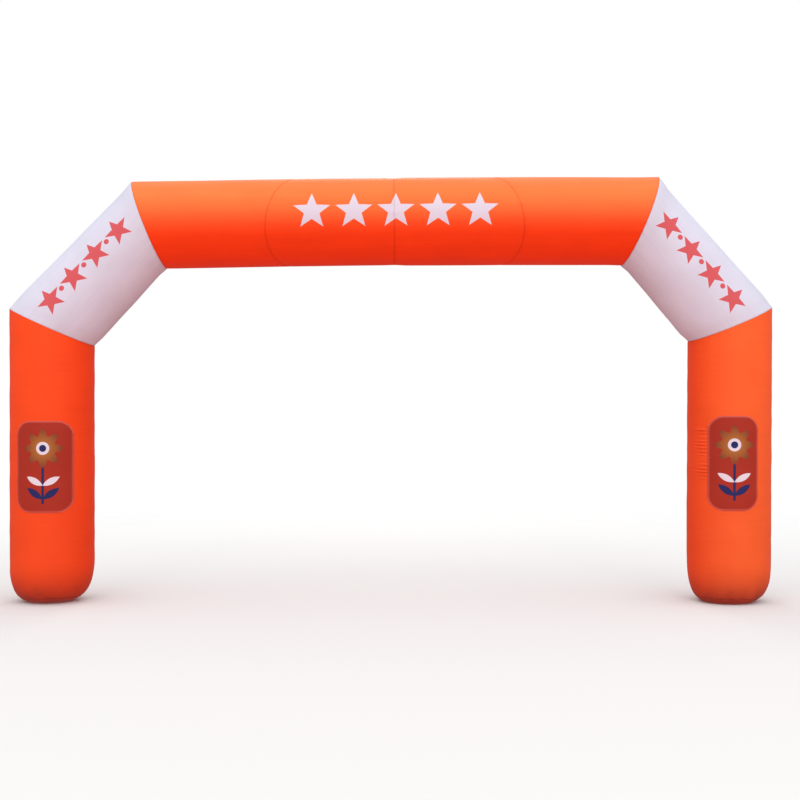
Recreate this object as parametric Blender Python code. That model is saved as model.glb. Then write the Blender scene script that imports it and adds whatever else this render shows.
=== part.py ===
"""Inflatable square arch: a sewn cloth tube of two legs, two slanting shoulders and a level beam.

Every panel of cloth is a thin skin, open at its seams. Metres, +Z up, the front faces -Y, and the origin is
on the ground midway between the feet. A hoop is a line of points once round the tube, and its angle is 0 at
the front and a quarter turn on the arch's outer side.
"""

import math
from collections import namedtuple

import bmesh
import bpy
from mathutils import Matrix, Vector

# Cloth
CLOTH = 0.002
SEAM_GAP = 0.0003
SIDES = 48

# The tube's centre line, in the plane of the arch: (x, z) from the left foot over the top to the right one
LEFT_FOOT = (-3.566, 0.0)
LEFT_KNEE = (-3.569, 2.880)
LEFT_CORNER = (-2.543, 3.953)
RIGHT_CORNER = (2.617, 3.995)
RIGHT_KNEE = (3.568, 2.911)
RIGHT_FOOT = (3.555, 0.0)

# The tube's radius, in each length and where two lengths are sewn together
LEFT_LEG_RADIUS = 0.4335
RIGHT_LEG_RADIUS = 0.4315
LEFT_KNEE_RADIUS = 0.435
RIGHT_KNEE_RADIUS = 0.430
SHOULDER_RADIUS = 0.444
LEFT_CORNER_RADIUS = 0.456
RIGHT_CORNER_RADIUS = 0.462
BEAM_LEFT_RADIUS = 0.455
BEAM_MIDDLE_RADIUS = 0.452
BEAM_RIGHT_RADIUS = 0.459

# How far the two seams of a shoulder are turned from a true mitre, steeper at the knee and at the corner
# alike, and how far down the tube the front of each seam on the right lies beyond it
SEAM_TURN = math.radians(2.3)
RIGHT_SEAM_LEAN = 0.02

# How far the beam's centre line rises in its middle
BEAM_CAMBER = 0.015

# The beam's own seams, by where each crosses the beam's centre line, and how far the two outer ones slant
BEAM_LEFT_SEAM_X = -1.023
BEAM_MIDDLE_SEAM_X = 0.036
BEAM_RIGHT_SEAM_X = 1.104
SEAM_SLANT = 0.262
SEAM_SLANT_ANGLE = math.radians(-15.0)

# Share of a length of tube over which it widens from its seam, and shares of a leg's height for its rings
NECK = 0.12
SHAFT_SHARES = (0.4, 0.75)

# The foot: the tube turns in over a rounded rim onto a flat round that stands on the ground. The rim starts
# lower on the arch's outer side, and an exponent below 1 makes it fuller than an ellipse.
Foot = namedtuple("Foot", "flat_radius flat_offset offset_angle")
LEFT_SOLE = Foot(flat_radius=0.130, flat_offset=0.050, offset_angle=math.radians(120.0))
RIGHT_SOLE = Foot(flat_radius=0.180, flat_offset=0.075, offset_angle=math.radians(-36.0))
RIM_HEIGHT = 0.47
RIM_DIP = 0.05
RIM_FULLNESS = 0.74
RIM_STEPS = 7
SOLE_SEAM_TURN = math.radians(58.0)
SOLE_GAP_TURN = SEAM_GAP / RIM_HEIGHT
SOLE_STEPS = 3

# Printed patches, one on the front of each leg
Patch = namedtuple("Patch", "side_offset width bottom top")
LEFT_PATCH = Patch(side_offset=0.014, width=0.580, bottom=0.958, top=1.898)
RIGHT_PATCH = Patch(side_offset=-0.049, width=0.500, bottom=0.978, top=1.949)
PATCH_CLOTH = 0.0015
PATCH_CORNER = 0.15
PATCH_CORNER_SEGMENTS = 6
PATCH_MARGIN = 0.05
CUTTER_REACH = 1.5

SHARP_ANGLE = math.radians(40.0)
ORANGE = (0.84, 0.075, 0.012)
WHITE = (0.80, 0.76, 0.82)
DARK_RED = (0.36, 0.03, 0.025)
CLOTH_ROUGHNESS = 0.5

FRONT = Vector((0.0, -1.0, 0.0))
UP = Vector((0.0, 0.0, 1.0))


class Hoop:
    """One ring of the tube, an ellipse given by its centre and two half axes."""

    def __init__(self, centre, across, rise):
        self.centre = centre
        self.across = across
        self.rise = rise

    def point(self, angle, inset=0.0):
        """The ring's point at an angle, taken in by the cloth's thickness where that is asked for."""
        share = 1.0 - inset / -self.across.dot(Vector((0.0, 1.0, 0.0)))
        return self.centre + share * (math.cos(angle) * self.across + math.sin(angle) * self.rise)

    def moved(self, offset):
        return Hoop(self.centre + offset, self.across, self.rise)


class RimLine:
    """One ring of a foot's rounded rim, from 0 at the upright wall to a quarter turn at the flat round."""

    def __init__(self, axis, radius, foot, turn):
        self.axis = axis
        self.radius = radius
        self.foot = foot
        self.turn = turn

    def point(self, angle, inset=0.0):
        foot = self.foot
        reach = foot.flat_radius + foot.flat_offset * math.cos(angle - foot.offset_angle)
        height = RIM_HEIGHT - RIM_DIP * math.sin(angle)
        out = reach + (self.radius - reach - inset) * math.cos(self.turn) ** RIM_FULLNESS
        up = height - (height - inset) * math.sin(self.turn) ** RIM_FULLNESS
        side = out * math.sin(angle) * self.axis.outer
        return Vector((self.axis.x_at(up) + side, -out * math.cos(angle), up))


class LegAxis:
    """The nearly upright centre line of a leg; outer is -1 on the left leg and 1 on the right one."""

    def __init__(self, foot, knee, outer):
        self.foot = foot
        self.knee = knee
        self.outer = outer

    def x_at(self, height):
        return self.foot[0] + (self.knee[0] - self.foot[0]) * height / self.knee[1]

    def ring(self, height, radius):
        centre = Vector((self.x_at(height), 0.0, height))
        return Hoop(centre, FRONT * radius, Vector((self.outer * radius, 0.0, 0.0)))


LEFT_LEG = LegAxis(LEFT_FOOT, LEFT_KNEE, -1.0)
RIGHT_LEG = LegAxis(RIGHT_FOOT, RIGHT_KNEE, 1.0)


def clear_scene():
    for item in list(bpy.data.objects):
        bpy.data.objects.remove(item, do_unlink=True)


def new_collection(name):
    collection = bpy.data.collections.new(name)
    bpy.context.scene.collection.children.link(collection)
    return collection


def cloth_material(name, colour):
    material = bpy.data.materials.new(name)
    material.use_nodes = True
    shader = material.node_tree.nodes["Principled BSDF"]
    shader.inputs["Base Color"].default_value = (*colour, 1.0)
    shader.inputs["Roughness"].default_value = CLOTH_ROUGHNESS
    shader.inputs["Metallic"].default_value = 0.0
    return material


def place(x_and_z):
    return Vector((x_and_z[0], 0.0, x_and_z[1]))


def heading(start, end):
    return (place(end) - place(start)).normalized()


def outward(direction):
    """The arch's outer side, beside a direction that runs from the left foot over to the right one."""
    return Vector((-direction.z, 0.0, direction.x))


def mitre(here, straight, slanting, radius, turn, lean=0.0):
    """The ring where a leg or the beam, which is straight, meets a shoulder, and the way through it."""
    along = Matrix.Rotation(turn, 3, "Y") @ (straight + slanting).normalized()
    rise = outward(along) * radius / straight.dot(along)
    across = FRONT * radius + along * lean
    return Hoop(place(here), across, rise), along


def beam_ring(x, radius, slant=0.0):
    """A ring round the beam at x, leaning out at the front by slant, and the beam's own direction."""
    start = place(LEFT_CORNER)
    along = heading(LEFT_CORNER, RIGHT_CORNER)
    half_span = (RIGHT_CORNER[0] - LEFT_CORNER[0]) / 2.0
    from_middle = (x - LEFT_CORNER[0]) / half_span - 1.0
    camber = BEAM_CAMBER * (1.0 - from_middle**2)
    centre = start + along * (x - start.x) / along.x + UP * camber
    across = FRONT * radius + along * slant * math.cos(SEAM_SLANT_ANGLE)
    rise = outward(along) * radius + along * slant * math.sin(SEAM_SLANT_ANGLE)
    return Hoop(centre, across, rise), along


def between(start, end, share, radius):
    """A ring of a given radius part of the way from one ring to another."""
    across = start.across.lerp(end.across, share)
    rise = start.rise.lerp(end.rise, share)
    widen = radius / -across.y
    return Hoop(start.centre.lerp(end.centre, share), across * widen, rise * widen)


def angles():
    return [math.tau * k / SIDES for k in range(SIDES)]


def bridge(bm, lower, upper):
    for k in range(SIDES):
        following = (k + 1) % SIDES
        bm.faces.new((lower[k], lower[following], upper[following], upper[k]))


def add_object(bm, name, material, collection):
    bmesh.ops.recalc_face_normals(bm, faces=bm.faces)
    mesh = bpy.data.meshes.new(name)
    bm.to_mesh(mesh)
    bm.free()
    mesh.shade_smooth()
    mesh.set_sharp_from_angle(angle=SHARP_ANGLE)
    mesh.materials.append(material)
    item = bpy.data.objects.new(name, mesh)
    collection.objects.link(item)
    return item


def sleeve(name, rings, thickness, material, collection):
    """An open tube of cloth through a row of rings, its inner wall one thickness of cloth inside."""
    bm = bmesh.new()
    wall = [[bm.verts.new(ring.point(angle)) for angle in angles()] for ring in rings]
    wall += [[bm.verts.new(ring.point(angle, thickness)) for angle in angles()] for ring in reversed(rings)]
    for loop, following in zip(wall, wall[1:] + wall[:1]):
        bridge(bm, loop, following)
    return add_object(bm, name, material, collection)


def length_of_tube(start, end, radius):
    """The rings of a length of tube that is a little narrower at its two seams."""
    shares = (NECK, 0.5, 1.0 - NECK)
    return [start] + [between(start, end, share, radius) for share in shares] + [end]


def rim_lines(axis, radius, foot, first_turn, last_turn, steps):
    turns = [first_turn + (last_turn - first_turn) * k / steps for k in range(steps + 1)]
    return [RimLine(axis, radius, foot, turn) for turn in turns]


def build_leg(name, axis, radius, foot, knee, material, collection):
    """An upright length, from the seam under its rounded rim to the mitre at the knee."""
    rim = rim_lines(axis, radius, foot, SOLE_SEAM_TURN - SOLE_GAP_TURN, 0.0, RIM_STEPS)
    shaft = [axis.ring(axis.knee[1] * share, radius) for share in SHAFT_SHARES]
    return sleeve(name, rim + shaft + [knee], CLOTH, material, collection)


def build_sole(name, axis, radius, foot, material, collection):
    """The closing panel of a foot, a shallow dish whose round bottom lies flat on the ground."""
    quarter_turn = math.radians(90.0)
    rings = rim_lines(axis, radius, foot, quarter_turn, SOLE_SEAM_TURN + SOLE_GAP_TURN, SOLE_STEPS)
    bm = bmesh.new()
    wall = [[bm.verts.new(ring.point(angle)) for angle in angles()] for ring in rings]
    wall += [[bm.verts.new(ring.point(angle, CLOTH)) for angle in angles()] for ring in reversed(rings)]
    for loop, following in zip(wall, wall[1:]):
        bridge(bm, loop, following)
    bm.faces.new(wall[0])
    bm.faces.new(wall[-1])
    return add_object(bm, name, material, collection)


def rounded_cutter(name, centre, width, depth, height, collection):
    """A block with rounded upright corners, seen from the front, that cuts a patch to its outline."""
    bm = bmesh.new()
    size = Matrix.Diagonal((width, depth, height, 1.0))
    bmesh.ops.create_cube(bm, size=1.0, matrix=Matrix.Translation(centre) @ size)
    through = [edge for edge in bm.edges if abs(edge.verts[0].co.y - edge.verts[1].co.y) > depth / 2.0]
    bmesh.ops.bevel(
        bm,
        geom=through,
        offset=PATCH_CORNER,
        segments=PATCH_CORNER_SEGMENTS,
        profile=0.5,
        affect="EDGES",
        material=-1,
    )
    mesh = bpy.data.meshes.new(name)
    bm.to_mesh(mesh)
    bm.free()
    cutter = bpy.data.objects.new(name, mesh)
    cutter.hide_render = True
    cutter.display_type = "WIRE"
    collection.objects.link(cutter)
    return cutter


def build_patch(name, axis, leg_radius, patch, material, collection, cutters):
    """A piece of cloth with rounded corners that lies on the front of a leg."""
    radius = leg_radius + SEAM_GAP + PATCH_CLOTH
    heights = (patch.bottom - PATCH_MARGIN, patch.top + PATCH_MARGIN)
    rings = [axis.ring(height, radius) for height in heights]
    band = sleeve(name, rings, PATCH_CLOTH, material, collection)
    middle = (patch.bottom + patch.top) / 2.0
    centre = Vector((axis.x_at(middle) + patch.side_offset, -radius, middle))
    height = patch.top - patch.bottom
    depth = CUTTER_REACH * radius
    cutter = rounded_cutter(f"{name}_outline", centre, patch.width, depth, height, cutters)
    cut = band.modifiers.new("outline", "BOOLEAN")
    cut.operation = "INTERSECT"
    cut.object = cutter
    return band


def build_arch():
    clear_scene()
    arch = new_collection("square_arch")
    cutters = new_collection("cutters")
    orange = cloth_material("orange_cloth", ORANGE)
    white = cloth_material("white_cloth", WHITE)
    dark_red = cloth_material("dark_red_cloth", DARK_RED)

    up_left = heading(LEFT_FOOT, LEFT_KNEE)
    up_shoulder = heading(LEFT_KNEE, LEFT_CORNER)
    over = heading(LEFT_CORNER, RIGHT_CORNER)
    down_shoulder = heading(RIGHT_CORNER, RIGHT_KNEE)
    down_right = heading(RIGHT_KNEE, RIGHT_FOOT)
    left_knee, left_knee_way = mitre(LEFT_KNEE, up_left, up_shoulder, LEFT_KNEE_RADIUS, SEAM_TURN)
    left_corner, left_corner_way = mitre(LEFT_CORNER, over, up_shoulder, LEFT_CORNER_RADIUS, SEAM_TURN)
    right_corner, right_corner_way = mitre(
        RIGHT_CORNER, over, down_shoulder, RIGHT_CORNER_RADIUS, -SEAM_TURN, RIGHT_SEAM_LEAN
    )
    right_knee, right_knee_way = mitre(
        RIGHT_KNEE, down_right, down_shoulder, RIGHT_KNEE_RADIUS, -SEAM_TURN, RIGHT_SEAM_LEAN
    )
    half = SEAM_GAP / 2.0

    build_sole("left_base", LEFT_LEG, LEFT_LEG_RADIUS, LEFT_SOLE, orange, arch)
    build_sole("right_base", RIGHT_LEG, RIGHT_LEG_RADIUS, RIGHT_SOLE, orange, arch)
    build_leg(
        "left_leg",
        LEFT_LEG,
        LEFT_LEG_RADIUS,
        LEFT_SOLE,
        left_knee.moved(-half * left_knee_way),
        orange,
        arch,
    )
    build_leg(
        "right_leg",
        RIGHT_LEG,
        RIGHT_LEG_RADIUS,
        RIGHT_SOLE,
        right_knee.moved(half * right_knee_way),
        orange,
        arch,
    )

    shoulders = {
        "left_shoulder": (left_knee.moved(half * left_knee_way), left_corner.moved(-half * left_corner_way)),
        "right_shoulder": (
            right_corner.moved(half * right_corner_way),
            right_knee.moved(-half * right_knee_way),
        ),
    }
    for name, (start, end) in shoulders.items():
        sleeve(name, length_of_tube(start, end, SHOULDER_RADIUS), CLOTH, white, arch)

    left_seam, beam_way = beam_ring(BEAM_LEFT_SEAM_X, BEAM_LEFT_RADIUS, -SEAM_SLANT)
    middle_seam, beam_way = beam_ring(BEAM_MIDDLE_SEAM_X, BEAM_MIDDLE_RADIUS)
    right_seam, beam_way = beam_ring(BEAM_RIGHT_SEAM_X, BEAM_RIGHT_RADIUS, SEAM_SLANT)
    step = half * beam_way
    beams = {
        "beam_left": (left_corner.moved(half * left_corner_way), left_seam.moved(-step), BEAM_LEFT_RADIUS),
        "beam_mid_left": (left_seam.moved(step), middle_seam.moved(-step), BEAM_LEFT_RADIUS),
        "beam_mid_right": (middle_seam.moved(step), right_seam.moved(-step), BEAM_RIGHT_RADIUS),
        "beam_right": (
            right_seam.moved(step),
            right_corner.moved(-half * right_corner_way),
            BEAM_RIGHT_RADIUS,
        ),
    }
    for name, (start, end, radius) in beams.items():
        sleeve(name, length_of_tube(start, end, radius), CLOTH, orange, arch)

    patches = {
        "left_patch": (LEFT_LEG, LEFT_LEG_RADIUS, LEFT_PATCH),
        "right_patch": (RIGHT_LEG, RIGHT_LEG_RADIUS, RIGHT_PATCH),
    }
    for name, (axis, radius, patch) in patches.items():
        build_patch(name, axis, radius, patch, dark_red, arch, cutters)


build_arch()
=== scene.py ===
import math
from collections import namedtuple

import bmesh
import bpy
from mathutils import Matrix, Vector, noise


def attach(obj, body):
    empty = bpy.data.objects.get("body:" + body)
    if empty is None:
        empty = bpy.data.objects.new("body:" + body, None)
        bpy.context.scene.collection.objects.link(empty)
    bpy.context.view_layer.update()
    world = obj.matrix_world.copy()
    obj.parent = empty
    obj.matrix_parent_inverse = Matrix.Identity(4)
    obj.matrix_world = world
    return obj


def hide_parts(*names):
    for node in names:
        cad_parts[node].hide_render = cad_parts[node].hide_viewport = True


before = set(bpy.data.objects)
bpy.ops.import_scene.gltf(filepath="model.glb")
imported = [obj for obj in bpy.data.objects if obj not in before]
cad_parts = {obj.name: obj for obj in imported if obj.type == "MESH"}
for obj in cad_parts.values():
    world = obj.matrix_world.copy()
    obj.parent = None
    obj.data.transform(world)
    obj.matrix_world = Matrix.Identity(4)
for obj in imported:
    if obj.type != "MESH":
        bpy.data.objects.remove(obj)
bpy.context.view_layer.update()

# Camera and studio
# The arch stands on a pale floor that fades into a white room, under a wide soft light from above. The
# camera is level, at a person's raised arm's height, straight in front and a little right of the middle.

CAMERA_PLACE = (0.095, -13.914, 2.112)
LENS = 59.4
FLOOR_RADIUS = 13.0
FLOOR_FULL_RADIUS = 6.5
FLOOR_SIDES = 96
FLOOR_COLOUR = (0.69, 0.62, 0.58)
ROOM_WHITE = (1.0, 1.0, 1.0)
LIGHT_FROM_ABOVE = (1.42, 1.60, 1.72)
LIGHT_FROM_SIDES = (0.47, 0.455, 0.475)
LIGHT_FROM_BELOW = (0.72, 0.42, 0.41)
ABOVE_STARTS = 0.12
ABOVE_FULL = 0.72
BELOW_GROWTH = 5.0
FRONT_SHARE = 0.38
SOFTBOX_SIZE = 5.0
Softbox = namedtuple("Softbox", "name stand aim power")
SOFTBOXES = (
    Softbox("left_softbox", (-7.0, -17.0, 6.0), (-3.0, 0.0, 2.0), 330.0),
    Softbox("right_softbox", (7.0, -17.0, 6.0), (3.0, 0.0, 2.0), 400.0),
    Softbox("back_softbox", (0.0, 14.0, 10.0), (0.0, 0.0, 2.0), 420.0),
)


class Wire:
    """One output of a node, which Python's operators turn into Math nodes."""

    def __init__(self, recipe, node, output=0):
        self.recipe = recipe
        self.node = node
        self.socket = node.outputs[output]

    def output(self, name):
        return Wire(self.recipe, self.node, name)

    def __add__(self, other):
        return self.recipe.math("ADD", self, other)

    def __sub__(self, other):
        return self.recipe.math("SUBTRACT", self, other)

    def __mul__(self, other):
        return self.recipe.math("MULTIPLY", self, other)

    def __truediv__(self, other):
        return self.recipe.math("DIVIDE", self, other)

    def __pow__(self, other):
        return self.recipe.math("POWER", self, other)

    __radd__ = __add__
    __rmul__ = __mul__

    def __rsub__(self, other):
        return self.recipe.math("SUBTRACT", other, self)

    def __abs__(self):
        return self.recipe.math("ABSOLUTE", self)


class Recipe:
    """The nodes of one finish."""

    def __init__(self, tree):
        self.tree = tree
        tree.nodes.clear()

    def node(self, kind, settings=None, sockets=None, output=0):
        made = self.tree.nodes.new(kind)
        for name, value in (settings or {}).items():
            setattr(made, name, value)
        for name, value in (sockets or {}).items():
            socket = made.inputs[name]
            if isinstance(value, Wire):
                self.tree.links.new(value.socket, socket)
            elif socket.type == "RGBA":
                socket.default_value = (*value, 1.0)
            else:
                socket.default_value = value
        return Wire(self, made, output) if made.outputs else None

    def math(self, operation, *values, clamp=False):
        settings = {"operation": operation, "use_clamp": clamp}
        return self.node("ShaderNodeMath", settings, dict(enumerate(values)))

    def rising(self, value, low, high):
        """0 below low and 1 above high, with a soft step between them."""
        sockets = {"Value": value, "From Min": low, "From Max": high}
        return self.node("ShaderNodeMapRange", {"interpolation_type": "SMOOTHSTEP"}, sockets)

    def edge(self, depth, softness):
        """0 outside a shape and 1 inside it, from how far inside its outline a point lies."""
        return self.math("ADD", depth / softness, 0.5, clamp=True)

    def blend(self, share, first, second):
        colours = {0: share, 6: first, 7: second}
        return self.node("ShaderNodeMix", {"data_type": "RGBA"}, colours, output=2)

    def tint(self, colour, strength):
        """A colour made lighter or darker by a number that varies."""
        settings = {"operation": "SCALE"}
        return self.node("ShaderNodeVectorMath", settings, {0: colour, "Scale": strength})


def new_finish(name):
    material = bpy.data.materials.new(name)
    material.use_nodes = True
    return material, Recipe(material.node_tree)


def add_piece(bm, name, material):
    """Makes a mesh object of a bmesh, smooth, with its place in its mesh."""
    mesh = bpy.data.meshes.new(name)
    bm.to_mesh(mesh)
    bm.free()
    mesh.shade_smooth()
    mesh.materials.append(material)
    piece = bpy.data.objects.new(name, mesh)
    bpy.context.scene.collection.objects.link(piece)
    return piece


camera = bpy.data.objects.new("camera", bpy.data.cameras.new("camera"))
camera.location = CAMERA_PLACE
camera.rotation_euler = (math.radians(90.0), 0.0, 0.0)
camera.data.lens = LENS
bpy.context.scene.collection.objects.link(camera)
bpy.context.scene.camera = camera
bpy.context.scene.view_settings.view_transform = "Standard"

world = bpy.data.worlds.new("studio")
world.use_nodes = True
bpy.context.scene.world = world
room = Recipe(world.node_tree)
way = room.node("ShaderNodeTexCoord", output="Generated")
bearing = room.node("ShaderNodeSeparateXYZ", None, {0: way})
upward = bearing.output("Z")
overhead = room.rising(upward, ABOVE_STARTS, ABOVE_FULL)
underfoot = room.math("MULTIPLY", upward, -BELOW_GROWTH, clamp=True)
glow = room.blend(overhead, LIGHT_FROM_SIDES, LIGHT_FROM_ABOVE)
glow = room.blend(underfoot, glow, LIGHT_FROM_BELOW)
glow = room.tint(glow, 1.0 - bearing.output("Y") * FRONT_SHARE)
seen = room.node("ShaderNodeLightPath", output="Is Camera Ray")
light = room.node("ShaderNodeBackground", None, {"Color": room.blend(seen, glow, ROOM_WHITE)})
room.node("ShaderNodeOutputWorld", None, {"Surface": light})

for box in SOFTBOXES:
    softbox = bpy.data.objects.new(box.name, bpy.data.lights.new(box.name, "AREA"))
    softbox.data.size = SOFTBOX_SIZE
    softbox.data.energy = box.power
    softbox.location = box.stand
    softbox.rotation_euler = (Vector(box.aim) - Vector(box.stand)).to_track_quat("-Z", "Y").to_euler()
    softbox.visible_camera = False
    bpy.context.scene.collection.objects.link(softbox)

floor_material, floor_finish = new_finish("pale_floor")
spot = floor_finish.node("ShaderNodeTexCoord", output="Object")
reach = floor_finish.node("ShaderNodeVectorMath", {"operation": "LENGTH"}, {0: spot}, output="Value")
fading = floor_finish.math("DIVIDE", FLOOR_RADIUS - reach, FLOOR_RADIUS - FLOOR_FULL_RADIUS, clamp=True)
matt = floor_finish.node("ShaderNodeBsdfDiffuse", None, {"Color": FLOOR_COLOUR})
clear = floor_finish.node("ShaderNodeBsdfTransparent")
ground = floor_finish.node("ShaderNodeMixShader", None, {0: fading, 1: clear, 2: matt})
floor_finish.node("ShaderNodeOutputMaterial", None, {"Surface": ground})
bm = bmesh.new()
bmesh.ops.create_circle(bm, cap_ends=True, segments=FLOOR_SIDES, radius=FLOOR_RADIUS)
floor = add_piece(bm, "floor", floor_material)
floor.visible_diffuse = False
floor.visible_glossy = False

# Legs
# Two upright tubes of coated orange polyester cloth. Each is a flat panel rolled round and closed down its
# back, rolled in under itself at the foot and cut on a slant at the knee, and held round by air.

SIDES = 224
CLOTH = 0.0012
CLOSING_DISTANCE = 0.0001
FIRST_ROW = 0.003
ROW_GROWTH = 1.4
ROW_LIMIT = 0.07

SEAM_DEPTH = 0.003
SEAM_SPREAD = 0.007
WAVE_DEPTH = 0.004
WAVE_CLEAR = 0.06
LEG_GRAIN = (0.5, 0.5, 0.16)
Sewing = namedtuple("Sewing", "depth pitch reach")
SEWN = Sewing(depth=0.004, pitch=0.045, reach=0.07)
GATHERED = Sewing(depth=0.012, pitch=0.09, reach=0.13)

THREAD = 0.0014
STITCH = 0.0075
STITCH_PITCH = 0.010
STITCH_FROM_SEAM = 0.008
STITCH_LIFT = THREAD / 4.0
INNER_ROW = 3

ORANGE = (0.90, 0.045, 0.004)
# A paler orange, painted where the cloth faces the light: painted light on the front and outer side of each
# leg, and a painted highlight along the top of the beam.
PAINTED_LIGHT_ORANGE = (0.92, 0.168, 0.036)
LEG_PAINTED_LIGHT_TURN = math.radians(20.0)
LEAST_PAINTED_LIGHT_SHARE = 0.35
CLOTH_ROUGHNESS = 0.48
CLOTH_GLOSS = 0.10
STREAKS_ACROSS = 46.0
STREAKS_ALONG = 1.6
STREAK_SHADE = 0.10
STREAK_ROUGHNESS = 0.12
STREAK_DEPTH = 0.00012
MOTTLE_SCALE = 2.3
MOTTLE_SHADE = 0.20
# How much darker the cloth is near a seam, partly painted shade in the seam's groove.
SEAM_SHADE = 0.14
SEAM_ROUGHNESS = 0.15
WEAVE_PITCH = 0.0032
WEAVE_DEPTH = 0.00008

# Near the ground each leg darkens, partly with patchy scuffing and partly with a painted contact shadow.
SCUFF_AND_SHADE_HEIGHT = 0.47
SCUFF_AND_SHADE_DARK = (0.26, 0.030, 0.016)
SCUFF_SCALE = 5.0
EVEN_SCUFF_AND_SHADE = 0.42
# Painted shade: each leg darkens steadily from the knee down to the ground.
FOOTWARD_PAINTED_SHADE_SHARE = 0.19

ORANGE_THREAD = (0.72, 0.06, 0.02)
THREAD_ROUGHNESS = 0.6
PLY_SCALE = 160.0
PLY_SHADE = 0.4
PLY_DEPTH = 0.0005

LEFT_FOOT = (-3.566, 0.0)
LEFT_KNEE = (-3.569, 2.880)
LEFT_CORNER = (-2.543, 3.953)
RIGHT_CORNER = (2.617, 3.995)
RIGHT_KNEE = (3.568, 2.911)
RIGHT_FOOT = (3.555, 0.0)
SEAM_TURN = math.radians(2.3)
RIGHT_SEAM_LEAN = 0.02
SOLE_SEAM_TURN = math.radians(58.0)
RIM_HEIGHT = 0.47
RIM_DIP = 0.05
RIM_FULLNESS = 0.74
RIM_ROWS = 20
KNEE_NECK = 0.25
FRONT = Vector((0.0, -1.0, 0.0))
UP = Vector((0.0, 0.0, 1.0))

# Where the cloth is pulled sideways by the sewing of the patch on the right leg: each crease by its height,
# the angle round the leg where it starts, and its depth. All of them end under the patch's hem.
Crease = namedtuple("Crease", "height start depth")
RIGHT_CREASES = (
    Crease(1.852, -1.05, 0.0065),
    Crease(1.817, -1.27, 0.0125),
    Crease(1.788, -1.18, 0.0090),
    Crease(1.745, -1.12, 0.0050),
    Crease(1.702, -1.22, 0.0060),
    Crease(1.668, -1.30, 0.0080),
    Crease(1.634, -1.32, 0.0090),
    Crease(1.598, -1.24, 0.0065),
    Crease(1.560, -1.20, 0.0070),
    Crease(1.462, -1.10, 0.0055),
    Crease(1.422, -1.16, 0.0080),
    Crease(1.388, -1.24, 0.0115),
    Crease(1.352, -1.14, 0.0080),
    Crease(1.318, -1.08, 0.0060),
)
CREASE_END = -0.72
CREASE_WIDTH = 0.0090
CREASE_SKEW = 1.5
CREASE_ROWS = 0.006
CREASE_MARGIN = 0.04
RIDGE_SHARE = 0.9
RIDGE_BELOW = 1.6

# The last field but one of a leg is its share of painted light; the right leg is painted lighter than the
# left.
Leg = namedtuple(
    "Leg", "side outer foot knee radius knee_radius flat_radius flat_offset offset_angle fading creases"
)
LEFT_LEG = Leg(
    side="left",
    outer=-1.0,
    foot=LEFT_FOOT,
    knee=LEFT_KNEE,
    radius=0.4335,
    knee_radius=0.435,
    flat_radius=0.130,
    flat_offset=0.050,
    offset_angle=math.radians(120.0),
    fading=0.21,
    creases=(),
)
RIGHT_LEG = Leg(
    side="right",
    outer=1.0,
    foot=RIGHT_FOOT,
    knee=RIGHT_KNEE,
    radius=0.4315,
    knee_radius=0.430,
    flat_radius=0.180,
    flat_offset=0.075,
    offset_angle=math.radians(-36.0),
    fading=0.60,
    creases=RIGHT_CREASES,
)


class Hoop:
    """One ring round a tube, an ellipse given by its centre and two half axes."""

    def __init__(self, centre, across, rise):
        self.centre = centre
        self.across = across
        self.rise = rise

    def outward(self, angle):
        return (math.cos(angle) * self.across + math.sin(angle) * self.rise).normalized()

    def point(self, angle, relief=0.0):
        smooth = self.centre + math.cos(angle) * self.across + math.sin(angle) * self.rise
        return smooth + relief * self.outward(angle)


class RimRing:
    """One ring of a foot's rounded rim, from 0 at the upright wall to a quarter turn at the flat round."""

    def __init__(self, leg, turn):
        self.leg = leg
        self.turn = turn

    def outward(self, angle):
        side = math.sin(angle) * self.leg.outer
        level = Vector((side, -math.cos(angle), 0.0))
        return level * math.cos(self.turn) - UP * math.sin(self.turn)

    def point(self, angle, relief=0.0):
        leg = self.leg
        flat_out = flat_reach(leg, angle)
        out = flat_out + (leg.radius - flat_out) * math.cos(self.turn) ** RIM_FULLNESS
        height = RIM_HEIGHT - RIM_DIP * math.sin(angle)
        up = height * (1.0 - math.sin(self.turn) ** RIM_FULLNESS)
        side = out * math.sin(angle) * leg.outer
        smooth = Vector((leg_axis_x(leg, up) + side, -out * math.cos(angle), up))
        return smooth + relief * self.outward(angle)


def flat_reach(leg, angle):
    """How far the flat round under a foot reaches from the leg's axis."""
    return leg.flat_radius + leg.flat_offset * math.cos(angle - leg.offset_angle)


def leg_axis_x(leg, height):
    return leg.foot[0] + (leg.knee[0] - leg.foot[0]) * height / leg.knee[1]


def leg_hoop(leg, height, dip=0.0):
    """A ring round a leg's shaft, lower on its outer side by dip."""
    centre = Vector((leg_axis_x(leg, height), 0.0, height))
    return Hoop(centre, FRONT * leg.radius, Vector((leg.outer * leg.radius, 0.0, -dip)))


def place(x_and_z):
    return Vector((x_and_z[0], 0.0, x_and_z[1]))


def heading(start, end):
    return (place(end) - place(start)).normalized()


def arch_outward(direction):
    """The arch's outer side, beside a direction that runs from the left foot over to the right one."""
    return Vector((-direction.z, 0.0, direction.x))


def mitre(here, straight, slanting, radius, turn, lean=0.0):
    """The ring where a leg or the beam, which is straight, is sewn to a slanting shoulder."""
    along = Matrix.Rotation(turn, 3, "Y") @ (straight + slanting).normalized()
    rise = arch_outward(along) * radius / straight.dot(along)
    return Hoop(place(here), FRONT * radius + along * lean, rise)


def between(start, end, share, radius):
    """A ring of a given radius part of the way from one ring to another."""
    across = start.across.lerp(end.across, share)
    rise = start.rise.lerp(end.rise, share)
    widen = radius / -across.y
    return Hoop(start.centre.lerp(end.centre, share), across * widen, rise * widen)


def ease(share):
    share = min(max(share, 0.0), 1.0)
    return share * share * (3.0 - 2.0 * share)


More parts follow.
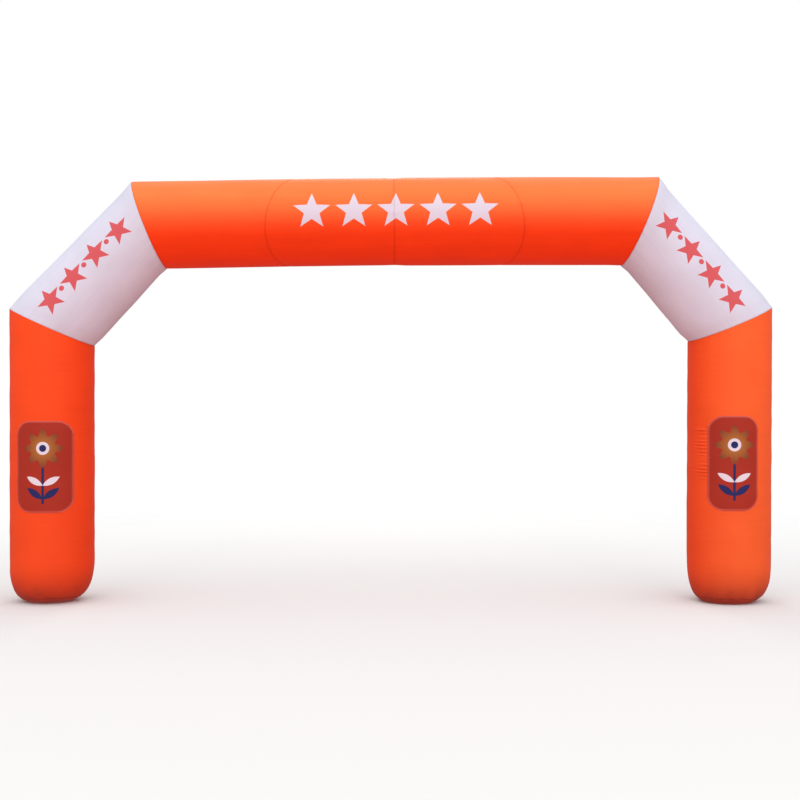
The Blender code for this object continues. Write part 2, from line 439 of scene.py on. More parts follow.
def row_distances(length, from_start=True):
    """Distances along a panel for its rows, close together beside a seam and wider apart between seams."""
    near = []
    at, step = 0.0, FIRST_ROW
    while step < ROW_LIMIT and at < length / 2.0:
        near.append(at)
        at += step
        step *= ROW_GROWTH
    starts = near if from_start else [0.0]
    ends = [length - at for at in reversed(near)]
    gap = ends[0] - starts[-1]
    steps = max(1, round(gap / ROW_LIMIT))
    return starts + [starts[-1] + gap * k / steps for k in range(1, steps)] + ends


def leg_rings(leg, knee):
    """A leg's rings, from the seam under its rim to the knee, with close rows where it is creased."""
    turns = [SOLE_SEAM_TURN * (1.0 - k / RIM_ROWS) for k in range(RIM_ROWS)]
    rim = [RimRing(leg, turn) for turn in turns]
    foot = leg_hoop(leg, RIM_HEIGHT, RIM_DIP)
    shaft = leg.knee[1] - RIM_HEIGHT
    distances = set(row_distances(shaft, from_start=False))
    if leg.creases:
        low = min(crease.height for crease in leg.creases) - CREASE_MARGIN - RIM_HEIGHT
        high = max(crease.height for crease in leg.creases) + CREASE_MARGIN - RIM_HEIGHT
        count = round((high - low) / CREASE_ROWS)
        distances = {at for at in distances if not low < at < high}
        distances |= {low + (high - low) * k / count for k in range(count + 1)}
    rings = []
    for at in sorted(distances):
        share = at / shaft
        widening = ease((share - 1.0 + KNEE_NECK) / KNEE_NECK)
        rings.append(between(foot, knee, share, leg.radius + (leg.knee_radius - leg.radius) * widening))
    return rim + rings


def sewn_in(smooth, seam_point, sewing):
    """How the cloth beside a seam dips into it and puckers, at a point of its smooth form."""
    distance = (smooth - seam_point).length
    pucker = sewing.depth * noise.noise(seam_point / sewing.pitch) * math.exp(-distance / sewing.reach)
    return pucker - SEAM_DEPTH * math.exp(-distance / SEAM_SPREAD), distance


def closed_behind(angle, radius):
    """How the cloth dips into the seam that closes a tube down its back."""
    distance = radius * (math.pi - abs(angle))
    return -SEAM_DEPTH * math.exp(-distance / SEAM_SPREAD), distance


def tube_relief(rings, radius, grain, start_sewing, end_sewing):
    """The fine form of a rolled panel: seams at its ends and down its back, and soft waves between them."""
    seams = ((rings[0], start_sewing), (rings[-1], end_sewing))

    def relief(angle, smooth):
        lift, nearest = closed_behind(angle, radius)
        for ring, sewing in seams:
            dip, distance = sewn_in(smooth, ring.point(angle), sewing)
            lift += dip
            nearest = min(nearest, distance)
        spot = Vector([value / size for value, size in zip(smooth, grain)])
        lift += WAVE_DEPTH * noise.noise(spot) * (1.0 - math.exp(-nearest / WAVE_CLEAR))
        return lift, math.exp(-nearest / SEAM_SPREAD)

    return relief


def crease_depth(leg, angle, height):
    """The troughs beside a leg's patch, each with a low ridge under it and fading at both ends."""
    lift = 0.0
    for crease in leg.creases:
        share = (angle - crease.start) / (CREASE_END - crease.start)
        if not 0.0 < share < 1.0:
            continue
        across = (height - crease.height) / CREASE_WIDTH
        trough = -math.exp(-across * across)
        ridge = RIDGE_SHARE * math.exp(-((across + RIDGE_BELOW) ** 2))
        lift += crease.depth * (trough + ridge) * math.sin(math.pi * share**CREASE_SKEW)
    return lift


def leg_relief(leg, rings):
    """The fine form of a leg's cloth, with its creases."""
    tube = tube_relief(rings, leg.radius, LEG_GRAIN, GATHERED, SEWN)

    def relief(angle, smooth):
        lift, nearness = tube(angle, smooth)
        return lift + crease_depth(leg, angle, smooth.z), nearness

    return relief


def roll_panel(name, rings, radius, relief, flat_origin, flat_way, material):
    """Rolls a flat grid of cloth into a tube through a row of rings; relief gives its fine form."""
    bm = bmesh.new()
    flat = bm.loops.layers.uv.new("flat_cloth")
    near_seam = bm.verts.layers.float.new("near_seam")
    rows = len(rings) - 1
    bmesh.ops.create_grid(bm, x_segments=SIDES, y_segments=rows, size=0.5)
    spots = {}
    for vert in bm.verts:
        angle = math.tau * vert.co.x
        ring = rings[round((vert.co.y + 0.5) * rows)]
        smooth = ring.point(angle)
        lift, nearness = relief(angle, smooth)
        vert.co = ring.point(angle, lift)
        vert[near_seam] = nearness
        spots[vert] = (angle * radius, (smooth - flat_origin).dot(flat_way))
    for face in bm.faces:
        for loop in face.loops:
            loop[flat].uv = spots[loop.vert]
    bmesh.ops.remove_doubles(bm, verts=bm.verts, dist=CLOSING_DISTANCE)
    bmesh.ops.recalc_face_normals(bm, faces=bm.faces)
    piece = add_piece(bm, name, material)
    give_wall(piece)
    return piece


def give_wall(piece):
    """Gives a panel the thickness of its cloth, inwards."""
    wall = piece.modifiers.new("wall", "SOLIDIFY")
    wall.thickness = CLOTH
    wall.offset = -1.0


def add_stitch(bm, middle, run, beside, out, length):
    """One stitch, a flattened bead of thread."""
    turned = Matrix((run, beside, out)).transposed().to_4x4()
    sized = Matrix.Diagonal((length, THREAD, THREAD, 1.0))
    matrix = Matrix.Translation(middle) @ turned @ sized
    bmesh.ops.create_icosphere(bm, subdivisions=1, radius=0.5, matrix=matrix)


def sew_row(bm, ring, inner_ring, relief):
    """A row of stitches round a tube, a little way in from the seam at its end."""
    stitches = round(math.tau * ring.across.length / STITCH_PITCH)
    for k in range(stitches):
        angle = math.tau * (k + 0.5) / stitches - math.pi
        edge = ring.point(angle)
        inward = (inner_ring.point(angle) - edge).normalized()
        spot = edge + inward * STITCH_FROM_SEAM
        out = ring.outward(angle)
        spot += out * (relief(angle, spot)[0] + STITCH_LIFT)
        add_stitch(bm, spot, out.cross(inward).normalized(), inward, out, STITCH)


Flat = namedtuple("Flat", "spot around along")


def flat_map(finish):
    """Where a point lies on its flat panel, and its distances round the tube and along it."""
    spot = finish.node("ShaderNodeUVMap", {"uv_map": "flat_cloth"})
    parts = finish.node("ShaderNodeSeparateXYZ", None, {0: spot})
    return Flat(spot, parts.output("X"), parts.output("Y"))


def noise_node(finish, spot, scale, detail, roughness=0.5):
    sockets = {"Vector": spot, "Scale": scale, "Detail": detail, "Roughness": roughness}
    return finish.node("ShaderNodeTexNoise", None, sockets)


def weave_cloth(finish, flat, colour, streaks_along_tube):
    """The colour, roughness and fine relief of coated polyester cloth."""
    if streaks_along_tube:
        stretch = (STREAKS_ACROSS, STREAKS_ALONG, 1.0)
    else:
        stretch = (STREAKS_ALONG, STREAKS_ACROSS, 1.0)
    drawn = finish.node("ShaderNodeVectorMath", {"operation": "MULTIPLY"}, {0: flat.spot, 1: stretch})
    streaks = noise_node(finish, drawn, scale=1.0, detail=3.0, roughness=0.6)
    mottle = noise_node(finish, flat.spot, MOTTLE_SCALE, detail=4.0, roughness=0.55)
    seam = finish.node("ShaderNodeAttribute", {"attribute_name": "near_seam"}, output="Fac")
    # Darker near seams: partly the seam's doubled cloth and thread, partly painted shade in its groove.
    shade = 1.0 + (streaks - 0.5) * STREAK_SHADE + (mottle - 0.5) * MOTTLE_SHADE - seam * SEAM_SHADE
    roughness = CLOTH_ROUGHNESS + (streaks - 0.5) * STREAK_ROUGHNESS + seam * SEAM_ROUGHNESS
    threads = math.tau / WEAVE_PITCH
    weave = finish.math("SINE", flat.around * threads) * finish.math("SINE", flat.along * threads)
    relief = streaks * STREAK_DEPTH + weave * WEAVE_DEPTH
    bump = finish.node("ShaderNodeBump", None, {"Strength": 1.0, "Distance": 1.0, "Height": relief})
    return finish.tint(colour, shade), roughness, bump


def finish_cloth(finish, colour, roughness, bump):
    sockets = {
        "Base Color": colour,
        "Roughness": roughness,
        "Normal": bump,
        "Specular IOR Level": CLOTH_GLOSS,
    }
    cloth = finish.node("ShaderNodeBsdfPrincipled", None, sockets)
    finish.node("ShaderNodeOutputMaterial", None, {"Surface": cloth})


def leg_cloth(leg):
    """The orange cloth of one leg, with painted light that makes its front and outer side paler, and darker
    towards the foot with scuffing and painted shade.
    """
    material, finish = new_finish(f"orange_{leg.side}_leg_cloth")
    flat = flat_map(finish)
    # Painted light: paler towards the front and a little to the outer side of the leg, least pale round its
    # back.
    toward_painted_light = finish.math("COSINE", flat.around / leg.radius - LEG_PAINTED_LIGHT_TURN)
    facing_painted_light = finish.math("MAXIMUM", toward_painted_light, 0.0)
    painted_light = (LEAST_PAINTED_LIGHT_SHARE + (1.0 - LEAST_PAINTED_LIGHT_SHARE) * facing_painted_light) * leg.fading
    tinted, roughness, bump = weave_cloth(finish, flat, finish.blend(painted_light, ORANGE, PAINTED_LIGHT_ORANGE), False)
    spot = finish.node("ShaderNodeTexCoord", output="Object")
    above_floor = finish.node("ShaderNodeSeparateXYZ", None, {0: spot}, output="Z")
    patchy = noise_node(finish, spot, SCUFF_SCALE, detail=5.0, roughness=0.6)
    # Darker near the ground: patchy scuffing and a painted contact shadow.
    scuff_and_painted_shade = finish.math("SUBTRACT", 1.0, above_floor / SCUFF_AND_SHADE_HEIGHT, clamp=True) ** 2.0
    # Painted shade, darker towards the foot.
    painted_shade_towards_foot = finish.math("SUBTRACT", 1.0, above_floor / leg.knee[1], clamp=True) * FOOTWARD_PAINTED_SHADE_SHARE
    scuff_and_painted_shade = finish.math("ADD", scuff_and_painted_shade * (patchy + EVEN_SCUFF_AND_SHADE), painted_shade_towards_foot, clamp=True)
    finish_cloth(finish, finish.blend(scuff_and_painted_shade, tinted, SCUFF_AND_SHADE_DARK), roughness, bump)
    return material


def sewing_thread(name, colour):
    """Twisted polyester sewing thread."""
    material, finish = new_finish(name)
    twist = finish.node("ShaderNodeTexCoord", output="Object")
    plies = noise_node(finish, twist, PLY_SCALE, detail=2.0)
    tinted = finish.tint(colour, 1.0 - PLY_SHADE / 2.0 + PLY_SHADE * plies)
    bump = finish.node("ShaderNodeBump", None, {"Strength": 0.5, "Distance": PLY_DEPTH, "Height": plies})
    finish_cloth(finish, tinted, THREAD_ROUGHNESS, bump)
    return material


up_left = heading(LEFT_FOOT, LEFT_KNEE)
up_shoulder = heading(LEFT_KNEE, LEFT_CORNER)
over = heading(LEFT_CORNER, RIGHT_CORNER)
down_shoulder = heading(RIGHT_CORNER, RIGHT_KNEE)
down_right = heading(RIGHT_KNEE, RIGHT_FOOT)
left_knee = mitre(LEFT_KNEE, up_left, up_shoulder, LEFT_LEG.knee_radius, SEAM_TURN)
right_knee = mitre(
    RIGHT_KNEE, down_right, down_shoulder, RIGHT_LEG.knee_radius, -SEAM_TURN, RIGHT_SEAM_LEAN
)

orange_thread = sewing_thread("orange_thread", ORANGE_THREAD)
SewnLeg = namedtuple("SewnLeg", "leg cloth rings relief panel stitching")
sewn_legs = {}
for leg, knee in ((LEFT_LEG, left_knee), (RIGHT_LEG, right_knee)):
    cloth = leg_cloth(leg)
    rings = leg_rings(leg, knee)
    relief = leg_relief(leg, rings)
    panel = roll_panel(f"{leg.side}_leg_cloth", rings, leg.radius, relief, Vector(), UP, cloth)
    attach(panel, "root")
    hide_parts(f"{leg.side}_leg")

    bm = bmesh.new()
    sew_row(bm, rings[-1], rings[-1 - INNER_ROW], relief)
    stitching = add_piece(bm, f"{leg.side}_leg_thread", orange_thread)
    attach(stitching, "root")
    sewn_legs[leg.side] = SewnLeg(leg, cloth, rings, relief, panel, stitching)

# Foot panels
# A round of the same orange cloth closes each leg. It is sewn in under the rim and stands on the ground
# with its middle, flat under the weight of the arch.

SOLE_ROWS = 10
SOLE_FLAT_ROWS = 5
SOLE_DISH = 0.010
SOLE_REST = 0.03
FLAT_TURN = math.radians(90.0)


class SoleRing:
    """One ring of the flat round under a foot, at a share of the way out to its edge."""

    def __init__(self, leg, share):
        self.leg = leg
        self.share = share

    def point(self, angle, relief=0.0):
        leg = self.leg
        out = flat_reach(leg, angle) * self.share
        side = out * math.sin(angle) * leg.outer
        return Vector((leg_axis_x(leg, 0.0) + side, -out * math.cos(angle), 0.0))


def sole_relief(rim):
    """The fine form of a foot's panel, gathered at its seam and smooth where it rests."""

    def relief(angle, smooth):
        lift, distance = sewn_in(smooth, rim.point(angle), GATHERED)
        return lift * ease(smooth.z / SOLE_REST), math.exp(-distance / SEAM_SPREAD)

    return relief


for side, (leg, cloth, leg_rows, relief, panel, stitching) in sewn_legs.items():
    rings = [SoleRing(leg, k / SOLE_FLAT_ROWS) for k in range(SOLE_FLAT_ROWS)]
    for k in range(SOLE_ROWS + 1):
        rings.append(RimRing(leg, FLAT_TURN + (SOLE_SEAM_TURN - FLAT_TURN) * k / SOLE_ROWS))
    sole = roll_panel(f"{side}_base_cloth", rings, leg.radius, sole_relief(rings[-1]), Vector(), UP, cloth)
    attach(sole, "root")
    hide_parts(f"{side}_base")
    rim_share = math.cos(SOLE_SEAM_TURN) ** RIM_FULLNESS
    seam_radius = leg.flat_radius + (leg.radius - leg.flat_radius) * rim_share
    across = 2.0 * (seam_radius + SOLE_DISH)
    math.pi * across**2 / 4.0

    girth = math.tau * leg.radius
    length = leg.knee[1]
    slant = abs(leg_rows[-1].rise.z)
    length + slant
    girth * length

# Shoulders
# Two slanting lengths of white cloth between the legs and the beam, cut on a slant at both ends. A row of
# plain red stars is printed along the front of each.

LEFT_CORNER_RADIUS = 0.456
RIGHT_CORNER_RADIUS = 0.462
SHOULDER_RADIUS = 0.444
SHOULDER_GRAIN = (0.3, 0.3, 0.3)
NECK = 0.12
MEASURED_LINES = 16
WHITE = (0.64, 0.60, 0.67)
PRINT_RED = (0.62, 0.095, 0.10)
WHITE_THREAD = (0.55, 0.50, 0.54)
SHOULDER_STARS = 4
SHOULDER_STAR_PITCH = 0.33
SHOULDER_STAR_RADIUS = 0.155
SHOULDER_PRINT_RISE = 0.11
SHOULDER_DOT_RADIUS = 0.028
STAR_POINTS = 5
STAR_WAIST = 0.42
PRINT_EDGE = 0.003


def tube_rings(start, end, radii):
    """The rings of a length of tube that is a little narrower or wider at its two seams."""
    start_radius, radius, end_radius = radii
    length = (end.centre - start.centre).length
    rings = []
    for at in row_distances(length):
        share = at / length
        from_start = ease(share / NECK)
        from_end = ease((1.0 - share) / NECK)
        narrowed = (start_radius - radius) * (1.0 - from_start) + (end_radius - radius) * (1.0 - from_end)
        rings.append(between(start, end, share, radius + narrowed))
    return rings


def print_row(finish, across, along, count, pitch):
    """Distances from the nearest figure's middle, along the row and straight, and 1 within the row."""
    cell = along / pitch + count / 2.0
    local = (finish.math("FRACT", cell) - 0.5) * pitch
    reach = finish.math("SQRT", local * local + across * across)
    within = finish.edge(count * pitch / 2.0 - abs(along), PRINT_EDGE)
    return local, reach, within


def star_row(finish, across, along, stars, pitch, radius):
    """A row of pointed stars: across and along are the distances from the row's middle."""
    local, reach, within = print_row(finish, across, along, stars, pitch)
    step = math.tau / STAR_POINTS
    turn = finish.math("ARCTAN2", local, across) / step + (STAR_POINTS + 0.5)
    folded = abs(finish.math("FRACT", turn) - 0.5) * step
    from_tip = radius - reach * finish.math("COSINE", folded)
    aside = reach * finish.math("SINE", folded)
    notch_aside = STAR_WAIST * radius * math.sin(step / 2.0)
    notch_from_tip = radius - STAR_WAIST * radius * math.cos(step / 2.0)
    side = math.hypot(notch_aside, notch_from_tip)
    depth = (from_tip * notch_aside - aside * notch_from_tip) / side
    return finish.edge(depth, PRINT_EDGE) * within


def dot_row(finish, across, along, dots, pitch, radius):
    """A row of round dots, from the distances from the row's middle."""
    local, reach, within = print_row(finish, across, along, dots, pitch)
    return finish.edge(radius - reach, PRINT_EDGE) * within


def shoulder_cloth():
    """White cloth with a printed row of red stars and dots."""
    material, finish = new_finish("white_shoulder_cloth")
    flat = flat_map(finish)
    tinted, roughness, bump = weave_cloth(finish, flat, WHITE, True)
    rise = flat.around - SHOULDER_PRINT_RISE
    stars = star_row(finish, rise, flat.along, SHOULDER_STARS, SHOULDER_STAR_PITCH, SHOULDER_STAR_RADIUS)
    dots = dot_row(finish, rise, flat.along, SHOULDER_STARS - 1, SHOULDER_STAR_PITCH, SHOULDER_DOT_RADIUS)
    printed = finish.math("MAXIMUM", stars, dots)
    finish_cloth(finish, finish.blend(printed, tinted, PRINT_RED), roughness, bump)
    return material


Length = namedtuple("Length", "node slot start end radii grain origin way cloth thread")


def sew_length(length):
    """A length of tube between two seams, with a row of stitches at each of its ends."""
    radius = length.radii[1]
    rings = tube_rings(length.start, length.end, length.radii)
    relief = tube_relief(rings, radius, length.grain, SEWN, SEWN)
    panel = roll_panel(
        f"{length.node}_cloth", rings, radius, relief, length.origin, length.way, length.cloth
    )
    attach(panel, "root")
    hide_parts(length.node)

    bm = bmesh.new()
    sew_row(bm, rings[0], rings[INNER_ROW], relief)
    sew_row(bm, rings[-1], rings[-1 - INNER_ROW], relief)
    stitching = add_piece(bm, f"{length.node}_thread", length.thread)
    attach(stitching, "root")

    girth = math.tau * radius
    turns = [k * math.tau / MEASURED_LINES for k in range(MEASURED_LINES)]
    longest = max((length.end.point(turn) - length.start.point(turn)).length for turn in turns)
    girth * (length.end.centre - length.start.centre).length
    return panel


def shoulder(side, start, end, radii):
    return Length(
        node=f"{side}_shoulder",
        slot="white_cloth",
        start=start,
        end=end,
        radii=radii,
        grain=SHOULDER_GRAIN,
        origin=(start.centre + end.centre) / 2.0,
        way=(end.centre - start.centre).normalized(),
        cloth=white_cloth,
        thread=white_thread,
    )


left_corner = mitre(LEFT_CORNER, over, up_shoulder, LEFT_CORNER_RADIUS, SEAM_TURN)
right_corner = mitre(RIGHT_CORNER, over, down_shoulder, RIGHT_CORNER_RADIUS, -SEAM_TURN, RIGHT_SEAM_LEAN)
white_cloth = shoulder_cloth()
white_thread = sewing_thread("white_thread", WHITE_THREAD)
left_radii = (LEFT_LEG.knee_radius, SHOULDER_RADIUS, LEFT_CORNER_RADIUS)
left_shoulder = shoulder("left", left_knee, left_corner, left_radii)
left_shoulder_panel = sew_length(left_shoulder)
right_radii = (RIGHT_CORNER_RADIUS, SHOULDER_RADIUS, RIGHT_LEG.knee_radius)
right_shoulder = shoulder("right", right_corner, right_knee, right_radii)
sew_length(right_shoulder)

# Beam
# Four lengths of orange cloth make the level beam. The outer two meet the inner two at seams that slant
# round the tube, and a row of plain white stars is printed across the inner two.

BEAM_LEFT_RADIUS = 0.455
BEAM_MIDDLE_RADIUS = 0.452
BEAM_RIGHT_RADIUS = 0.459
BEAM_CAMBER = 0.015
BEAM_LEFT_SEAM_X = -1.023
BEAM_MIDDLE_SEAM_X = 0.036
BEAM_RIGHT_SEAM_X = 1.104
SEAM_SLANT = 0.262
SEAM_SLANT_ANGLE = math.radians(-15.0)
BEAM_GRAIN = (1.3, 0.12, 0.12)
BEAM_STARS = 5
BEAM_STAR_PITCH = 0.43
BEAM_STAR_RADIUS = 0.198
BEAM_PRINT_MIDDLE = 0.054
BEAM_PRINT_RISE = 0.062
PRINT_WHITE = (0.68, 0.58, 0.64)
# The painted highlight on the beam's upper side, by the sine of the angle round the tube: full above the
# first of these, none below the second.
PAINTED_HIGHLIGHT_FULL_ABOVE = 0.56
PAINTED_HIGHLIGHT_NONE_BELOW = -0.44


def beam_ring(x, radius, slant=0.0):
    """A ring round the beam where it crosses the centre line at x, leaning out at the front by slant."""
    start = place(LEFT_CORNER)
    half_span = (RIGHT_CORNER[0] - LEFT_CORNER[0]) / 2.0
    from_middle = (x - LEFT_CORNER[0]) / half_span - 1.0
    camber = BEAM_CAMBER * (1.0 - from_middle**2)
    centre = start + over * (x - start.x) / over.x + UP * camber
    across = FRONT * radius + over * slant * math.cos(SEAM_SLANT_ANGLE)
    rise = arch_outward(over) * radius + over * slant * math.sin(SEAM_SLANT_ANGLE)
    return Hoop(centre, across, rise)


def beam_cloth(name, printed):
    """The orange cloth of the beam, with a painted highlight that makes its upper side paler, with or
    without its row of stars.
    """
    material, finish = new_finish(name)
    flat = flat_map(finish)
    # Painted highlight: the beam's upper side is blended toward the paler orange.
    painted_light = finish.rising(
        finish.math("SINE", flat.around / BEAM_LEFT_RADIUS), PAINTED_HIGHLIGHT_NONE_BELOW, PAINTED_HIGHLIGHT_FULL_ABOVE
    )
    colour, roughness, bump = weave_cloth(finish, flat, finish.blend(painted_light, ORANGE, PAINTED_LIGHT_ORANGE), True)
    if printed:
        rise = flat.around - BEAM_PRINT_RISE
        aside = flat.along - BEAM_PRINT_MIDDLE
        stars = star_row(finish, rise, aside, BEAM_STARS, BEAM_STAR_PITCH, BEAM_STAR_RADIUS)
        colour = finish.blend(stars, colour, PRINT_WHITE)
    finish_cloth(finish, colour, roughness, bump)
    return material


def beam_length(node, start, end, radii, cloth):
    return Length(
        node=node,
        slot="orange_cloth",
        start=start,
        end=end,
        radii=radii,
        grain=BEAM_GRAIN,
        origin=beam_ring(0.0, BEAM_MIDDLE_RADIUS).centre,
        way=over,
        cloth=cloth,
        thread=orange_thread,
    )


plain_cloth = beam_cloth("orange_beam_cloth", printed=False)
printed_cloth = beam_cloth("printed_beam_cloth", printed=True)
left_seam = beam_ring(BEAM_LEFT_SEAM_X, BEAM_LEFT_RADIUS, -SEAM_SLANT)
middle_seam = beam_ring(BEAM_MIDDLE_SEAM_X, BEAM_MIDDLE_RADIUS)
right_seam = beam_ring(BEAM_RIGHT_SEAM_X, BEAM_RIGHT_RADIUS, SEAM_SLANT)
left_radii = (LEFT_CORNER_RADIUS, BEAM_LEFT_RADIUS, BEAM_LEFT_RADIUS)
mid_left_radii = (BEAM_LEFT_RADIUS, BEAM_LEFT_RADIUS, BEAM_MIDDLE_RADIUS)
mid_right_radii = (BEAM_MIDDLE_RADIUS, BEAM_RIGHT_RADIUS, BEAM_RIGHT_RADIUS)
right_radii = (BEAM_RIGHT_RADIUS, BEAM_RIGHT_RADIUS, RIGHT_CORNER_RADIUS)
beam = (
    beam_length("beam_left", left_corner, left_seam, left_radii, plain_cloth),
    beam_length("beam_mid_left", left_seam, middle_seam, mid_left_radii, printed_cloth),
    beam_length("beam_mid_right", middle_seam, right_seam, mid_right_radii, printed_cloth),
    beam_length("beam_right", right_seam, right_corner, right_radii, plain_cloth),
)
neighbour = left_shoulder_panel
for length in beam:
    neighbour = sew_length(length)

# Patches
# A darker red patch with rounded corners is sewn on the front of each leg. A plain printed flower on a
# stem fills it, gold and brown above, white and navy below.

PATCH_CORNER = 0.15
PATCH_CORNER_SEGMENTS = 12
PATCH_CELL = 0.012
CUT_DISTANCE = 0.00001
PATCH_LIFT = 0.0022
PUFF_HEIGHT = 0.004
PUFF_REACH = 0.10
HEM = 0.012
HEM_FADE_START = HEM * 1.5
HEM_INSET = HEM * 0.7
HEM_STITCH_LIFT = PATCH_LIFT + THREAD / 3.0
HEM_STITCH_ENDS = (0.15, 0.85)
PATCH_RED = (0.36, 0.028, 0.014)
PATCH_HEM = (0.62, 0.11, 0.085)
GOLD = (0.50, 0.17, 0.03)
BROWN = (0.20, 0.045, 0.02)
CREAM = (0.72, 0.62, 0.66)
NAVY = (0.02, 0.022, 0.10)
Patch = namedtuple("Patch", "leg side_offset width bottom top")
PATCHES = (
    Patch(LEFT_LEG, 0.014, 0.580, 0.958, 1.898),
    Patch(RIGHT_LEG, -0.049, 0.500, 0.978, 1.949),
)

FLOWER_UP = 0.19
PETALS = 8
PETAL_REACH = 0.165
PETAL_WAVE = 0.035
PETAL_DARK_REACH = 0.20
HEART_RADIUS = 0.066
EYE_RADIUS = 0.036
STEM_HALF_WIDTH = 0.013
STEM_TOP = 0.03
STEM_BOTTOM = -0.38
FLOWER_EDGE = 0.004
Leaf = namedtuple("Leaf", "up length width lean colour")
LEAVES = (
    Leaf(-0.33, 0.20, 0.035, math.radians(35.0), NAVY),
    Leaf(-0.19, 0.19, 0.032, math.radians(28.0), CREAM),
)


def inside_patch(patch, x, z):
    """How far a point of the patch lies inside its rounded outline."""
    past_x = max(abs(x) - (patch.width / 2.0 - PATCH_CORNER), 0.0)
    past_z = max(abs(z) - ((patch.top - patch.bottom) / 2.0 - PATCH_CORNER), 0.0)
    if past_x == 0.0 or past_z == 0.0:
        return min(patch.width / 2.0 - abs(x), (patch.top - patch.bottom) / 2.0 - abs(z))
    return PATCH_CORNER - math.hypot(past_x, past_z)


def patch_spot(patch, x, z):
    """The angle round the leg and the height of a spot on the patch, seen from the front."""
    middle = (patch.bottom + patch.top) / 2.0
    side = (patch.side_offset + x) / patch.leg.radius * patch.leg.outer
    return math.asin(side), middle + z


def on_leg(patch, angle, height, lift):
    """A point lifted off the leg's own cloth, and the way out of the leg there."""
    ring = leg_hoop(patch.leg, height)
    relief = sewn_legs[patch.leg.side].relief
    return ring.point(angle, relief(angle, ring.point(angle))[0] + lift), ring.outward(angle)


def leaf_depth(leaf, side, across, up):
    """How far inside a pointed leaf a point lies; the leaf grows from the stem to one side."""
    x = across - side * math.cos(leaf.lean) * leaf.length / 2.0
    z = up - (leaf.up + math.sin(leaf.lean) * leaf.length / 2.0)
    run = x * (side * math.cos(leaf.lean)) + z * math.sin(leaf.lean)
    off = abs(x * (-side * math.sin(leaf.lean)) + z * math.cos(leaf.lean))
    from_middle = run / (leaf.length / 2.0)
    return (1.0 - from_middle * from_middle) * leaf.width - off


def patch_cloth():
    """Dark red cloth with its printed flower, and a paler hem."""
    material, finish = new_finish("printed_patch_cloth")
    flat = flat_map(finish)
    colour, roughness, bump = weave_cloth(finish, flat, PATCH_RED, False)
    around, along = flat.around, flat.along

    stem_depth = finish.math("MINIMUM", STEM_HALF_WIDTH - abs(around), STEM_TOP - along)
    stem = finish.edge(stem_depth, FLOWER_EDGE) * finish.edge(along - STEM_BOTTOM, FLOWER_EDGE)
    colour = finish.blend(stem, colour, NAVY)
    for side in (-1.0, 1.0):
        for leaf in LEAVES:
            inside = finish.edge(leaf_depth(leaf, side, around, along), FLOWER_EDGE)
            colour = finish.blend(inside, colour, leaf.colour)

    up = along - FLOWER_UP
    turn = finish.math("ARCTAN2", around, up)
    petal_reach = PETAL_REACH + PETAL_WAVE * finish.math("COSINE", turn * PETALS)
    from_heart = finish.math("SQRT", around * around + up * up)
    petal_light = finish.math("SUBTRACT", 1.0, from_heart / PETAL_DARK_REACH, clamp=True)
    petal_colour = finish.blend(petal_light, BROWN, GOLD)
    colour = finish.blend(finish.edge(petal_reach - from_heart, FLOWER_EDGE), colour, petal_colour)
    colour = finish.blend(finish.edge(HEART_RADIUS - from_heart, FLOWER_EDGE), colour, CREAM)
    colour = finish.blend(finish.edge(EYE_RADIUS - from_heart, FLOWER_EDGE), colour, NAVY)

    hem = finish.node("ShaderNodeAttribute", {"attribute_name": "near_hem"}, output="Fac")
    finish_cloth(finish, finish.blend(hem, colour, PATCH_HEM), roughness, bump)
    return material


def cut_patch(patch, cloth):
    """A rounded panel of cloth laid on its leg, a little puffed inside its hem."""
    height = patch.top - patch.bottom
    bm = bmesh.new()
    flat = bm.loops.layers.uv.new("flat_cloth")
    near_hem = bm.verts.layers.float.new("near_hem")
    bmesh.ops.create_grid(bm, x_segments=1, y_segments=1, size=0.5)
    bmesh.ops.scale(bm, vec=(patch.width, height, 1.0), verts=bm.verts)
    bmesh.ops.bevel(
        bm,
        geom=bm.verts[:],
        offset=PATCH_CORNER,
        segments=PATCH_CORNER_SEGMENTS,
        profile=0.5,
        affect="VERTICES",
        material=-1,
    )
    for normal, size in ((Vector((1.0, 0.0, 0.0)), patch.width), (Vector((0.0, 1.0, 0.0)), height)):
        cuts = round(size / PATCH_CELL)
        for k in range(1, cuts):
            geometry = bm.verts[:] + bm.edges[:] + bm.faces[:]
            spot = normal * size * (k / cuts - 0.5)
            bmesh.ops.bisect_plane(bm, geom=geometry, dist=CUT_DISTANCE, plane_co=spot, plane_no=normal)
    spots = {}
    middle_angle = patch_spot(patch, 0.0, 0.0)[0]
    for vert in bm.verts:
        x, z = vert.co.x, vert.co.y
        depth = inside_patch(patch, x, z)
        angle, up = patch_spot(patch, x, z)
        vert.co = on_leg(patch, angle, up, PATCH_LIFT + PUFF_HEIGHT * ease(depth / PUFF_REACH))[0]
        vert[near_hem] = ease((HEM_FADE_START - depth) / HEM)
        spots[vert] = ((angle - middle_angle) * patch.leg.radius * patch.leg.outer, z)
    for face in bm.faces:
        for loop in face.loops:
            loop[flat].uv = spots[loop.vert]
    bmesh.ops.recalc_face_normals(bm, faces=bm.faces)
    if bm.faces[0].normal.y > 0.0:
        bmesh.ops.reverse_faces(bm, faces=bm.faces)
    piece = add_piece(bm, f"{patch.leg.side}_patch_cloth", cloth)
    give_wall(piece)
    return piece


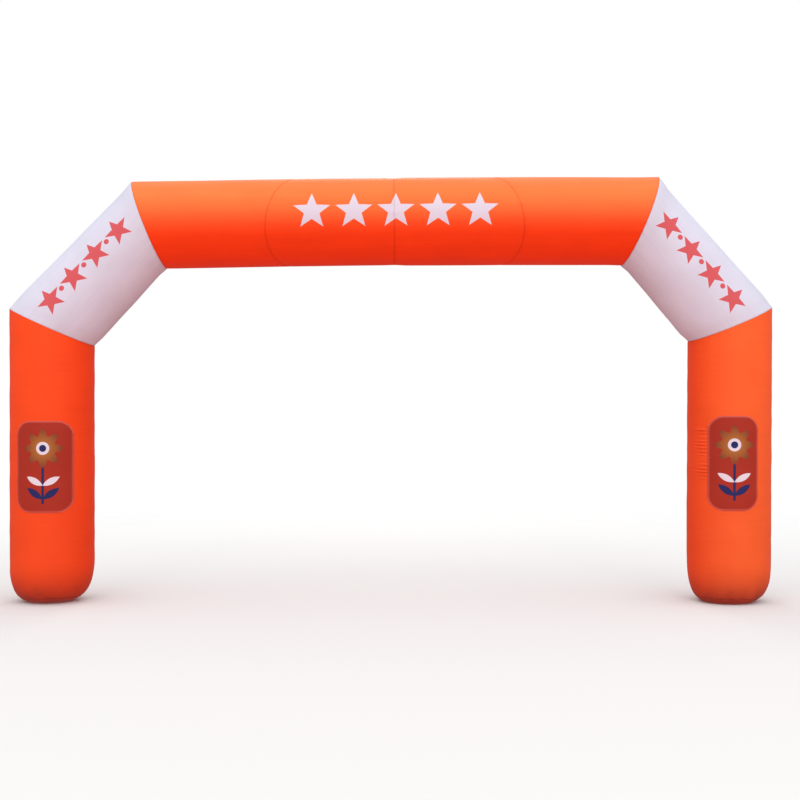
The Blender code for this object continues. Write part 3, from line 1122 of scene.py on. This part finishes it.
class HemLine:
    """The rounded line of stitches that runs round a patch inside its hem."""

    def __init__(self, patch):
        self.corner = PATCH_CORNER - HEM_INSET
        self.run_x = patch.width / 2.0 - HEM_INSET - self.corner
        self.run_z = (patch.top - patch.bottom) / 2.0 - HEM_INSET - self.corner
        self.arc = self.corner * math.pi / 2.0
        self.length = 4.0 * (self.run_x + self.run_z + self.arc)

    def spot(self, distance):
        """The spot at a distance round the line."""
        quarters, at = divmod(distance % self.length, self.length / 4.0)
        swapped = quarters % 2 == 1
        across, beside = (self.run_z, self.run_x) if swapped else (self.run_x, self.run_z)
        if at < beside:
            x, z = across + self.corner, at
        elif at < beside + self.arc:
            angle = (at - beside) / self.corner
            x, z = across + self.corner * math.cos(angle), beside + self.corner * math.sin(angle)
        else:
            x, z = across - (at - beside - self.arc), beside + self.corner
        for quarter in range(int(quarters)):
            x, z = -z, x
        return x, z


def sew_hem(patch):
    """The row of stitches round a patch."""
    line = HemLine(patch)
    stitches = round(line.length / STITCH_PITCH)
    bm = bmesh.new()
    for k in range(stitches):
        ends = []
        for share in HEM_STITCH_ENDS:
            angle, up = patch_spot(patch, *line.spot(line.length * (k + share) / stitches))
            ends.append(on_leg(patch, angle, up, HEM_STITCH_LIFT))
        (first, out), (last, out) = ends
        run = last - first
        beside = out.cross(run).normalized()
        add_stitch(bm, (first + last) / 2.0, run.normalized(), beside, out, run.length)
    return add_piece(bm, f"{patch.leg.side}_patch_thread", orange_thread)


flower_cloth = patch_cloth()
for patch in PATCHES:
    side = patch.leg.side
    piece = cut_patch(patch, flower_cloth)
    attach(piece, "root")
    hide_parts(f"{side}_patch")
    stitching = sew_hem(patch)
    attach(stitching, "root")
    arc_width = patch.leg.radius * (
        math.asin((patch.width / 2.0 + patch.side_offset) / patch.leg.radius)
        + math.asin((patch.width / 2.0 - patch.side_offset) / patch.leg.radius)
    )
    height = patch.top - patch.bottom
    corners_cut = (4.0 - math.pi) * PATCH_CORNER**2
    arc_width * height - corners_cut
